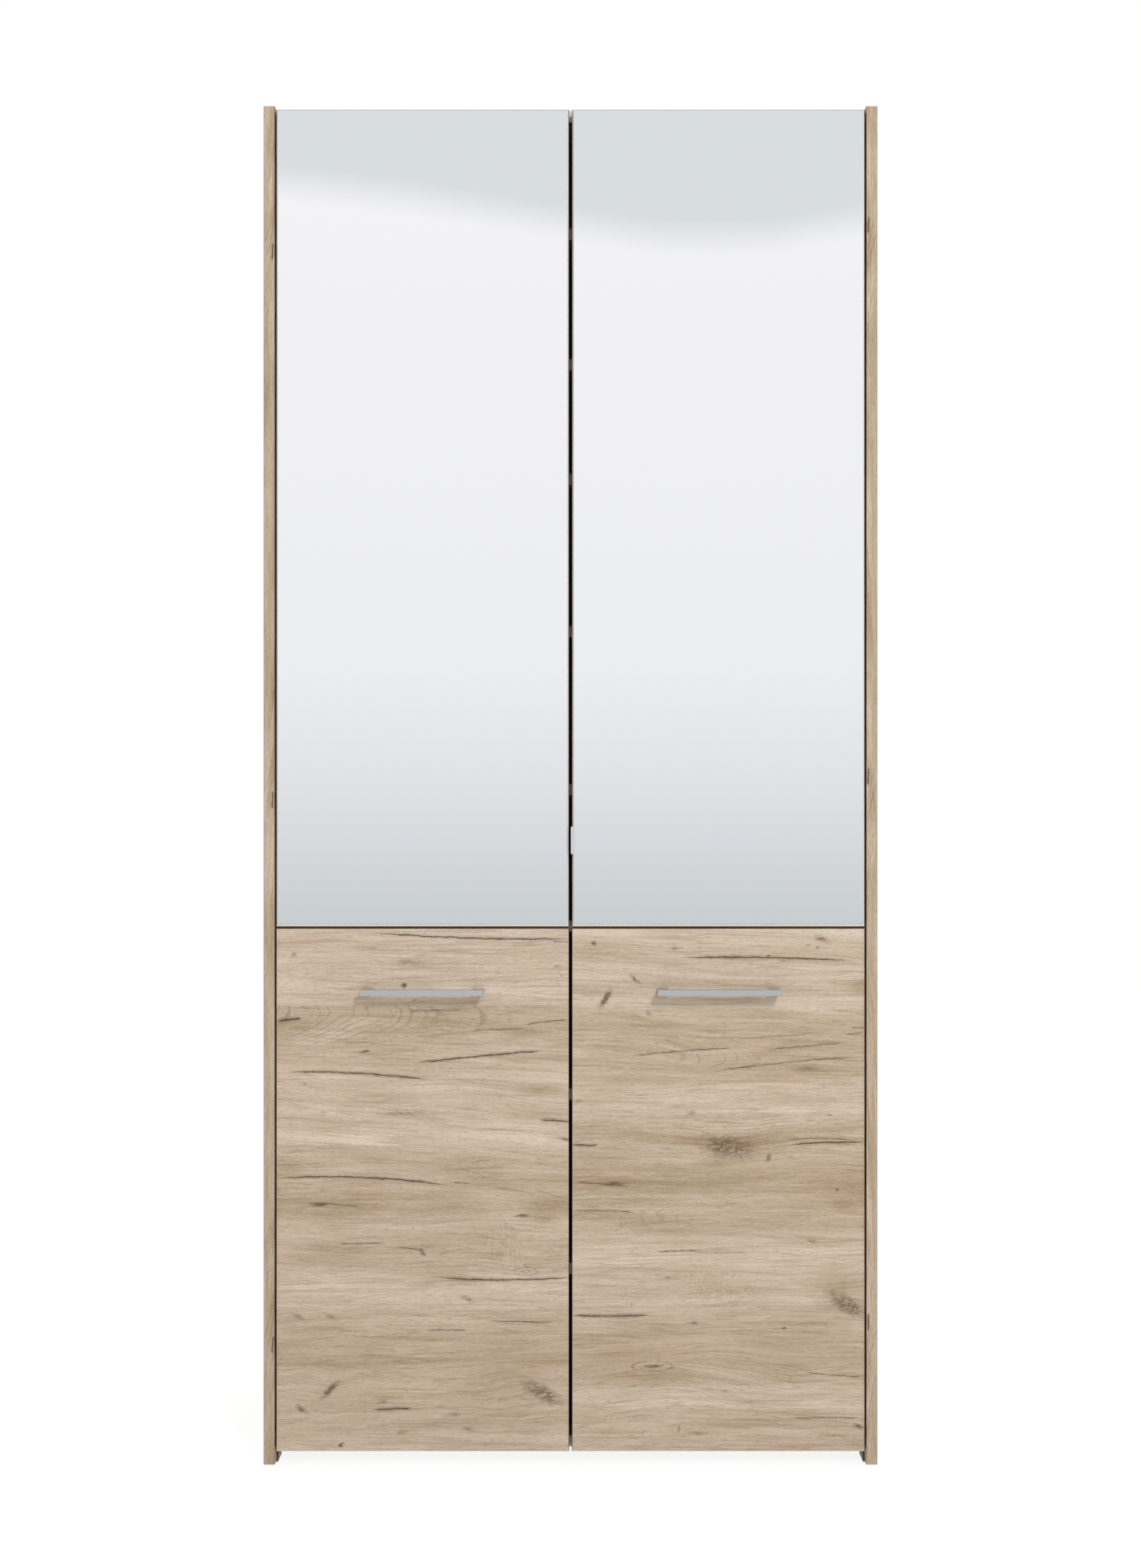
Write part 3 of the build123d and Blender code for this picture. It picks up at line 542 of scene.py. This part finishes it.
# side panels: grain runs up, the front edges show it end to end
def sideOak(turn, seed, knotHeights, lean):
    board = {
        "along": (0, 0, 1), "alongStart": 0.0,
        "across": (turn, 1, 0), "acrossStart": 0.0,
        # painted shade on the rounded front edges beside the gaps
        "edgeShade": 1.0,
        "planks": [(200, 0.1 * seed, 0.03), (258, 0.35, 0.0), (440, 0.8, 0.01), (700, 0.8, 0.01)],
        "tones": [(200, 0.72), (245, 0.7), (252, 0.75), (300, 0.3), (350, 0.45), (420, 0.25), (440, 0.5),
                  (520, 0.32), (600, 0.48), (700, 0.35)],
        "swaths": [],
        **scatterMarks(seed, (60, 1900), (275, 640), 22, 12),
    }
    for height in knotHeights:  # slanting streaks run off each small knot on the front edge
        board["cracks"].append((height, 242, 13, 0.5 * turn, 0, 1.1, 0.8))
        for step in range(7):
            streak = height + lean * (20 + 25 * step + 8 * math.sin(5.1 * step))
            half = 30 + 10 * math.sin(3.3 * step)
            depth = 0.27 + 0.15 * math.sin(1.9 * step)
            board["cracks"].append((streak, 244 + 4 * math.sin(2.4 * step), half, 5.5 * turn, 2, 0.65, depth))
        tilt = 6 * turn
        board["swaths"] += [
            (height + lean * 50, 241, 60, 7, tilt, 0.2), (height + lean * 105, 247, 55, 6, tilt, -0.22),
            (height + lean * 165, 242, 60, 7, tilt, 0.18), (height - lean * 90, 245, 80, 9, 0, -0.15),
            (height - lean * 230, 243, 90, 8, 0, 0.16), (height - lean * 360, 246, 90, 8, 0, -0.15),
        ]
    return board


wear(["left_side_panel"], oakDecor("knottyOakLeftSide", sideOak(-1, 4, (1742, 955, 174), 1)))
wear(["right_side_panel"], oakDecor("knottyOakRightSide", sideOak(1, 7, (1780, 989, 206), -1)))

shelfOak = {
    "along": (1, 0, 0), "alongStart": 0.0,
    "across": (0, 1, 1.37), "acrossStart": 0.0,
    # painted shade on the edges; pale fronts, which are pale edging and also painted light from the gaps
    "edgeShade": 0.13, "rimShare": 0.6,
    "planks": [(-200 + 218 * step, (0.37 * step) % 1, 0.01 * (step % 3 - 1)) for step in range(15)],
    "tones": [(-200 + 100 * step, 0.35 + 0.16 * math.sin(1.7 * step)) for step in range(31)],
    **scatterMarks(12, (-410, 410), (-150, 2800), 30, 14),
}
shelfNodes = [name for name in cadNodes if name.startswith(("lower_shelf", "upper_shelf"))]
wear(shelfNodes + ["bottom_panel", "mid_shelf", "top_panel"], oakDecor("knottyOakShelves", shelfOak))
print("oak decor on the carcass")


# mirror: clear silvered front, ground edges
mirrorLook = {"silver": (0.948, 0.952, 0.953, 1), "edge": paint(244, 247, 244), "clouds": 0.006,
              "frontRough": 0.005, "edgeRough": 0.125}


def silveredGlass():
    finish, tree, shader = newFinish("silveredGlass")
    spot = millimetres(tree)
    facing = splitAxes(tree, put(tree, "TexCoord").outputs["Normal"])
    flatFront = ramp(tree, facing[1], -8.0, -7.0)
    colour = blendColour(tree, flatFront, mirrorLook["edge"], mirrorLook["silver"])
    feed(tree, shader.inputs["Base Color"], colour)
    shader.inputs["Metallic"].default_value = 1.0
    clouds = noiseOver(tree, spot, (140, 140, 200), 3)
    polish = mirrorLook["frontRough"] - mirrorLook["edgeRough"]
    frosting = calc(tree, "MULTIPLY_ADD", flatFront, polish, mirrorLook["edgeRough"])
    feed(tree, shader.inputs["Roughness"], calc(tree, "MULTIPLY_ADD", clouds, mirrorLook["clouds"], frosting))
    return finish


wear(["upper_left_mirror", "upper_right_mirror"], silveredGlass())


# metal fittings: brushed lines run along the piece
def brushedMetal(name, look):
    finish, tree, shader = newFinish(name)
    spot = millimetres(tree)
    brush = noiseOver(tree, spot, look["brush"], 3, 0.6)
    cloud = noiseOver(tree, spot, (60, 60, 60), 2)
    share = calc(tree, "MULTIPLY_ADD", brush, 0.7, calc(tree, "MULTIPLY", cloud, 0.3))
    feed(tree, shader.inputs["Base Color"], blendColour(tree, share, look["dark"], look["light"]))
    shader.inputs["Metallic"].default_value = look["metallic"]
    roughness = calc(tree, "MULTIPLY_ADD", brush, look["spread"], look["roughness"])
    feed(tree, shader.inputs["Roughness"], roughness)
    addBump(tree, shader, brush, look["depth"], 0.3)
    return finish


satinLook = {"light": paint(203, 203, 202), "dark": paint(189, 189, 188), "metallic": 1.0, "roughness": 0.32,
             "spread": 0.12, "brush": (60, 0.7, 0.5), "depth": 0.00003}
pullLook = {"light": paint(236, 236, 239), "dark": paint(223, 224, 228), "metallic": 1.0, "roughness": 0.24,
            "spread": 0.1, "brush": (0.6, 0.6, 40), "depth": 0.00002}
nickelLook = {"light": paint(214, 210, 203), "dark": paint(186, 182, 176), "metallic": 1.0, "roughness": 0.18,
              "spread": 0.16, "brush": (9, 9, 3), "depth": 0.00002}
zincLook = {"light": paint(178, 180, 182), "dark": paint(138, 140, 143), "metallic": 0.9, "roughness": 0.4,
            "spread": 0.2, "brush": (2.5, 2.5, 2.5), "depth": 0.00006}
satinAluminium = brushedMetal("satinAluminium", satinLook)
nickelPlate = brushedMetal("nickelPlate", nickelLook)
castZinc = brushedMetal("castZinc", zincLook)
wear(["lower_left_handle", "lower_right_handle"], satinAluminium)
wear(["upper_right_finger_pull"], brushedMetal("brightPull", pullLook))
wear(["cam_locks", "cam_bolts"], castZinc)
wear(["shelf_pins"], nickelPlate)
for part in ("_hinge_cups", "_hinge_pins", "_hinge_arms", "_hinge_plates"):
    wear([name + part for name in doorNames], nickelPlate)
print("mirrors and metal fittings finished")


# small parts: dowels, back sheets, glides and door buffers
def turnedBeech():
    look = {"light": paint(214, 178, 138), "dark": paint(178, 137, 98)}
    finish, tree, shader = newFinish("turnedBeech")
    grain = noiseOver(tree, millimetres(tree), (14, 1.2, 1.2), 3, 0.6)
    feed(tree, shader.inputs["Base Color"], blendColour(tree, grain, look["light"], look["dark"]))
    shader.inputs["Roughness"].default_value = 0.6
    addBump(tree, shader, grain, 0.0001)
    return finish


def fibreSheet():  # white paper face inside, raw brown board with a screened back behind
    look = {"paper": paint(226, 221, 213), "shade": paint(212, 205, 195), "board": paint(184, 154, 120),
            "fibre": paint(138, 108, 79), "mesh": 2.4}
    finish, tree, shader = newFinish("fibreSheet")
    spot = millimetres(tree)
    facing = splitAxes(tree, put(tree, "TexCoord").outputs["Normal"])
    rear = ramp(tree, facing[1], 4.0, 0.5)
    fibres = noiseOver(tree, spot, (3.5, 3.5, 1.8), 4, 0.7)
    clots = noiseOver(tree, spot, (26, 26, 17), 3, 0.6)
    mottle = noiseOver(tree, spot, (190, 190, 120), 3)
    wires = [calc(tree, "PINGPONG", axis, look["mesh"] / 2) for axis in splitAxes(tree, spot)]
    mesh = calc(tree, "MULTIPLY", calc(tree, "MAXIMUM", wires[0], wires[2]), 2 / look["mesh"])
    share = calc(tree, "MULTIPLY_ADD", centred(tree, clots), 0.55, fibres)
    share = calc(tree, "MULTIPLY_ADD", centred(tree, mottle), 0.4, share, clamp=True)
    inside = blendColour(tree, mottle, look["paper"], look["shade"])
    behind = blendColour(tree, share, look["board"], look["fibre"])
    behind = blendColour(tree, ramp(tree, mesh, 0.4, -0.2), behind, look["fibre"])
    feed(tree, shader.inputs["Base Color"], blendColour(tree, rear, inside, behind))
    feed(tree, shader.inputs["Roughness"], calc(tree, "MULTIPLY_ADD", rear, 0.25, 0.5))
    height = calc(tree, "MULTIPLY_ADD", mesh, -0.5, fibres)
    addBump(tree, shader, calc(tree, "MULTIPLY", height, rear), 0.0002)
    return finish


def mouldedPlastic():
    look = {"light": paint(70, 55, 46), "dark": paint(48, 37, 31)}
    finish, tree, shader = newFinish("darkGlide")
    stipple = noiseOver(tree, millimetres(tree), (0.9, 0.9, 0.9), 2)
    feed(tree, shader.inputs["Base Color"], blendColour(tree, stipple, look["light"], look["dark"]))
    feed(tree, shader.inputs["Roughness"], calc(tree, "MULTIPLY_ADD", stipple, 0.2, 0.4))
    addBump(tree, shader, stipple, 0.00008)
    return finish


def softBuffer():
    look = {"light": paint(235, 235, 231), "dark": paint(214, 215, 210)}
    finish, tree, shader = newFinish("softBuffer")
    haze = noiseOver(tree, millimetres(tree), (3, 3, 3), 2)
    feed(tree, shader.inputs["Base Color"], blendColour(tree, haze, look["light"], look["dark"]))
    feed(tree, shader.inputs["Roughness"], calc(tree, "MULTIPLY_ADD", haze, 0.2, 0.2))
    shader.inputs["Transmission Weight"].default_value = 0.6
    shader.inputs["IOR"].default_value = 1.49
    return finish


darkGlide = mouldedPlastic()
wear(["dowels"], turnedBeech())
wear(["lower_back_panel", "upper_back_panel"], fibreSheet())
wear(["foot_glides"], darkGlide)
wear([name + "_bumpers" for name in doorNames], softBuffer())
print("small parts finished")


# screws and nails
def turnedHead(radius, height, sides, profile):  # walls and foot of a round head on the z axis
    head = bmesh.new()
    rings = []
    for share, level in profile:
        rings.append([
            head.verts.new((share * radius * math.cos(math.tau * step / sides),
                            share * radius * math.sin(math.tau * step / sides), level * height))
            for step in range(sides)
        ])
    for lower, upper in zip(rings, rings[1:]):
        for step in range(sides):
            after = (step + 1) % sides
            head.faces.new((lower[step], lower[after], upper[after], upper[step]))
    head.faces.new(list(reversed(rings[0])))
    return head, rings[-1]


def screwHead(radius, height, sides=16):  # pan head with a cross recess
    profile = ((1.0, 0.0), (1.0, 0.3), (0.9, 0.68), (0.7, 1.0))
    head, rim = turnedHead(radius, height, sides, profile)
    arm, blade = 0.55 * radius, 0.14 * radius
    outline = [
        (arm, -blade), (arm, blade), (blade, blade), (blade, arm), (-blade, arm), (-blade, blade),
        (-arm, blade), (-arm, -blade), (-blade, -blade), (-blade, -arm), (blade, -arm), (blade, -blade),
    ]
    mouth = [head.verts.new((x, y, height)) for x, y in outline]
    floor = [head.verts.new((0.6 * x, 0.6 * y, 0.35 * height)) for x, y in outline]
    corners = range(len(outline))
    mouthEdges = [head.edges.new((mouth[step], mouth[step - 1])) for step in corners]
    rimEdges = [head.edges.get((rim[step], rim[step - 1])) for step in range(sides)]
    bmesh.ops.triangle_fill(head, use_beauty=True, edges=mouthEdges + rimEdges, normal=(0, 0, 1))
    for step in corners:
        head.faces.new((mouth[step - 1], mouth[step], floor[step], floor[step - 1]))
    head.faces.new(floor)
    bmesh.ops.recalc_face_normals(head, faces=head.faces)
    return meshOf(head, "screwHead")


def nailHead(radius, height, sides=12):
    head, rim = turnedHead(radius, height, sides, ((1.0, 0.0), (0.94, 0.6), (0.55, 1.0)))
    head.faces.new(rim)
    return meshOf(head, "nailHead")


def meshOf(shape, name):
    mesh = bpy.data.meshes.new(name)
    shape.to_mesh(mesh)
    shape.free()
    return mesh


def setHeads(name, pattern, places, outward, body, finish):  # places in mm
    dice = random.Random(name)
    shape = bmesh.new()
    stand = Vector(outward).to_track_quat("Z", "Y").to_matrix().to_4x4()
    for place in places:
        before = len(shape.verts)
        shape.from_mesh(pattern)
        shape.verts.ensure_lookup_table()
        turn = Matrix.Rotation(dice.uniform(0, math.tau), 4, "Z")
        seat = Matrix.Translation(Vector(place) / 1000) @ stand @ turn @ Matrix.Scale(0.001, 4)
        bmesh.ops.transform(shape, matrix=seat, verts=shape.verts[before:])
    piece = bpy.data.objects.new(name, meshOf(shape, name))
    scene.collection.objects.link(piece)
    piece.data.materials.append(finish)
    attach(piece, body)


hingeScrews = {
    "lowerHeights": (153.5, 651.25), "upperHeights": (871.25, 1308, 1857),
    "cup": (394.5, -167.8, 24), "plate": (422.0, -129.6, 16), "arm": (413.0, -140.0, -117.0),
    "cupHead": (3.2, 1.3), "plateHead": (3.4, 1.6), "armHead": (3.6, 1.5),
}
cupHead = screwHead(*hingeScrews["cupHead"])
plateHead = screwHead(*hingeScrews["plateHead"])
armHead = screwHead(*hingeScrews["armHead"])
for name in doorNames:
    level, hand = name.split("_")
    side = -1 if hand == "left" else 1
    heights = hingeScrews[level + "Heights"]
    x, y, reach = hingeScrews["cup"]
    places = [(side * x, y, z + step) for z in heights for step in (-reach, reach)]
    setHeads(name + "_cup_screws", cupHead, places, (0, 1, 0), name + "_door_set", nickelPlate)
    x, y, reach = hingeScrews["plate"]
    places = [(side * x, y, z + step) for z in heights for step in (-reach, reach)]
    setHeads(name + "_plate_screws", plateHead, places, (-side, 0, 0), "carcass", nickelPlate)
    x, front, rear = hingeScrews["arm"]
    places = [(side * x, y, z) for z in heights for y in (front, rear)]
    setHeads(name + "_arm_screws", armHead, places, (-side, 0, 0), "carcass", nickelPlate)

handleScrews = {"middle": 212.0, "reach": 80.0, "doorBack": -169.0, "height": 681.0, "head": (4.4, 2.2)}
handleHead = screwHead(*handleScrews["head"])
for hand, side in (("left", -1), ("right", 1)):
    places = [
        (side * handleScrews["middle"] + step, handleScrews["doorBack"], handleScrews["height"])
        for step in (-handleScrews["reach"], handleScrews["reach"])
    ]
    body = f"lower_{hand}_door_set"
    setHeads(f"lower_{hand}_handle_screws", handleHead, places, (0, 1, 0), body, castZinc)

pullScrews = {"places": [(8.5, -167.5, 888.0), (8.5, -167.5, 907.0)], "head": (2.4, 1.1)}
setHeads("finger_pull_screws", screwHead(*pullScrews["head"]), pullScrews["places"], (0, 1, 0),
         "upper_right_door_set", nickelPlate)

glideScrews = {"x": 422.0, "z": 9.5, "rows": (-156.0, -134.0, 161.0, 183.0), "head": (2.8, 1.3)}
glideHead = screwHead(*glideScrews["head"])
for hand, side in (("left", -1), ("right", 1)):
    places = [(side * glideScrews["x"], y, glideScrews["z"]) for y in glideScrews["rows"]]
    setHeads(f"{hand}_glide_screws", glideHead, places, (-side, 0, 0), "carcass", castZinc)

backNails = {
    "rear": 215.0, "sideX": 432.0, "pitch": 110.0, "head": (2.4, 0.6),
    "spans": ((29.0, 767.0), (778.5, 1942.0)),  # lowest and highest row on each sheet
}
nailPlaces = []
for low, high in backNails["spans"]:
    steps = round((high - low) / backNails["pitch"])
    for step in range(steps + 1):
        z = low + (high - low) * step / steps
        nailPlaces += [(side * backNails["sideX"], backNails["rear"], z) for side in (-1, 1)]
    across = round(2 * backNails["sideX"] / backNails["pitch"])
    for step in range(1, across):
        x = backNails["sideX"] * (2 * step / across - 1)
        nailPlaces += [(x, backNails["rear"], low), (x, backNails["rear"], high)]
setHeads("back_nails", nailHead(*backNails["head"]), nailPlaces, (0, 1, 0), "carcass", castZinc)
print("screws and nails set")


# studio: pale floor, soft white room, one lamp from upper right
studio = {
    "floorHalf": 6.5, "floorColour": (0.86, 0.86, 0.86, 1), "floorGlow": 0.8, "floorShine": 1.11,
    "farFloor": (199, 205, 208), "farStart": 1.0,
    "roomLight": 0.66, "roomColour": (1, 0.995, 0.985, 1), "backLight": 0.42,
    # the mirrors show a wall, its tones by rise, and the ceiling's edge, its rise by turn
    "wall": [(-0.30, (197, 203, 206)), (-0.063, (200, 205, 208)), (0.0, (224, 225, 229)),
             (0.054, (237, 237, 240)), (0.30, (244, 243, 246))],
    "cornice": [(-0.3, 0.28), (-0.12, 0.273), (-0.07, 0.2685), (-0.024, 0.261), (0.044, 0.2503),
                (0.09, 0.25), (0.127, 0.2555), (0.3, 0.275)],
    "ceiling": (217, 221, 224), "corniceSharp": 62.0, "mirrorShine": 0.052,
    "lampPlace": (1.6, -5.185, 3.55), "lampAim": (0, -0.185, 0.68), "lampSize": 0.6, "lampPower": 143,
    "camera": (0, -3.308, 0.978), "lens": 50,
}


def isLooking(tree):  # camera, mirror and glass rays see the bright studio
    path = put(tree, "LightPath")
    look = calc(tree, "MAXIMUM", path.outputs["Is Camera Ray"], path.outputs["Is Glossy Ray"])
    return calc(tree, "MAXIMUM", look, path.outputs["Is Transmission Ray"]), path.outputs["Is Glossy Ray"]


def levelReach(tree, x, y):  # distance from the middle, seen from above
    return calc(tree, "SQRT", calc(tree, "MULTIPLY_ADD", y, y, calc(tree, "MULTIPLY", x, x)))


def makeFloor():
    half = studio["floorHalf"]
    shape = bmesh.new()
    shape.faces.new([shape.verts.new(corner) for corner in
                     ((-half, -half, 0), (half, -half, 0), (half, half, 0), (-half, half, 0))])
    floor = bpy.data.objects.new("studioFloor", meshOf(shape, "studioFloor"))
    scene.collection.objects.link(floor)
    finish = bpy.data.materials.new("studioFloor")
    finish.use_nodes = True
    tree = finish.node_tree
    tree.nodes.clear()
    x, y = splitAxes(tree, put(tree, "TexCoord").outputs["Object"])[:2]
    start, span = studio["farStart"], half - studio["farStart"]
    far = ramp(tree, levelReach(tree, x, y), 1 / span, -start / span)
    look, mirrored = isLooking(tree)
    far = calc(tree, "MULTIPLY", far, mirrored)
    glow = put(tree, "Emission")
    feed(tree, glow.inputs[0], blendColour(tree, far, (1, 1, 1, 1), paint(*studio["farFloor"])))
    glow.inputs["Strength"].default_value = studio["floorShine"]
    matt = put(tree, "BsdfDiffuse")
    matt.inputs[0].default_value = studio["floorColour"]
    mix = put(tree, "MixShader")
    feed(tree, mix.inputs[0], calc(tree, "MULTIPLY", look, studio["floorGlow"]))
    tree.links.new(matt.outputs[0], mix.inputs[1])
    tree.links.new(glow.outputs[0], mix.inputs[2])
    tree.links.new(mix.outputs[0], put(tree, "OutputMaterial").inputs[0])
    floor.data.materials.append(finish)


def makeRoom():
    world = bpy.data.worlds.new("studioRoom")
    scene.world = world
    world.use_nodes = True
    tree = world.node_tree
    tree.nodes.clear()
    x, y, z = splitAxes(tree, put(tree, "TexCoord").outputs["Generated"])
    ahead = calc(tree, "MAXIMUM", levelReach(tree, x, y), 0.01)
    rise = calc(tree, "DIVIDE", z, ahead)
    turn = calc(tree, "DIVIDE", x, ahead)
    wall = colourTable(tree, rise, [(place, paint(*level)) for place, level in studio["wall"]])
    corniceStops = [(place, (high, high, high, 1)) for place, high in studio["cornice"]]
    cornice = splitAxes(tree, colourTable(tree, turn, corniceStops))[0]
    ceiling = ramp(tree, calc(tree, "SUBTRACT", rise, cornice), studio["corniceSharp"], 0.5)
    seen = blendColour(tree, ceiling, wall, paint(*studio["ceiling"]))
    look, mirrored = isLooking(tree)
    seen = blendColour(tree, calc(tree, "SUBTRACT", 1.0, mirrored), seen, (1, 1, 1, 1))
    shown = put(tree, "Background")
    feed(tree, shown.inputs[0], seen)
    feed(tree, shown.inputs[1], calc(tree, "MULTIPLY_ADD", mirrored, studio["mirrorShine"], 1.0))
    soft = put(tree, "Background")
    soft.inputs[0].default_value = studio["roomColour"]
    behind = calc(tree, "MAXIMUM", y, 0.0)  # evens out the side that the lamp doesn't reach
    feed(tree, soft.inputs[1], calc(tree, "MULTIPLY_ADD", behind, studio["backLight"], studio["roomLight"]))
    mix = put(tree, "MixShader")
    feed(tree, mix.inputs[0], look)
    tree.links.new(soft.outputs[0], mix.inputs[1])
    tree.links.new(shown.outputs[0], mix.inputs[2])
    tree.links.new(mix.outputs[0], put(tree, "OutputWorld").inputs[0])


def makeLamp():
    lamp = bpy.data.lights.new("studioLamp", "AREA")
    lamp.size = studio["lampSize"]
    lamp.energy = studio["lampPower"]
    holder = bpy.data.objects.new("studioLamp", lamp)
    scene.collection.objects.link(holder)
    holder.location = studio["lampPlace"]
    aim = Vector(studio["lampAim"]) - Vector(studio["lampPlace"])
    holder.rotation_euler = aim.to_track_quat("-Z", "Y").to_euler()
    holder.visible_glossy = False


def makeCamera():
    camera = bpy.data.cameras.new("photoView")
    camera.lens = studio["lens"]
    camera.sensor_fit = "VERTICAL"
    camera.sensor_height = 36
    holder = bpy.data.objects.new("photoView", camera)
    scene.collection.objects.link(holder)
    holder.location = studio["camera"]
    holder.rotation_euler = (math.radians(90), 0, 0)
    scene.camera = holder


makeFloor()
makeRoom()
makeLamp()
makeCamera()
scene.view_settings.view_transform = "Standard"
print("studio ready")
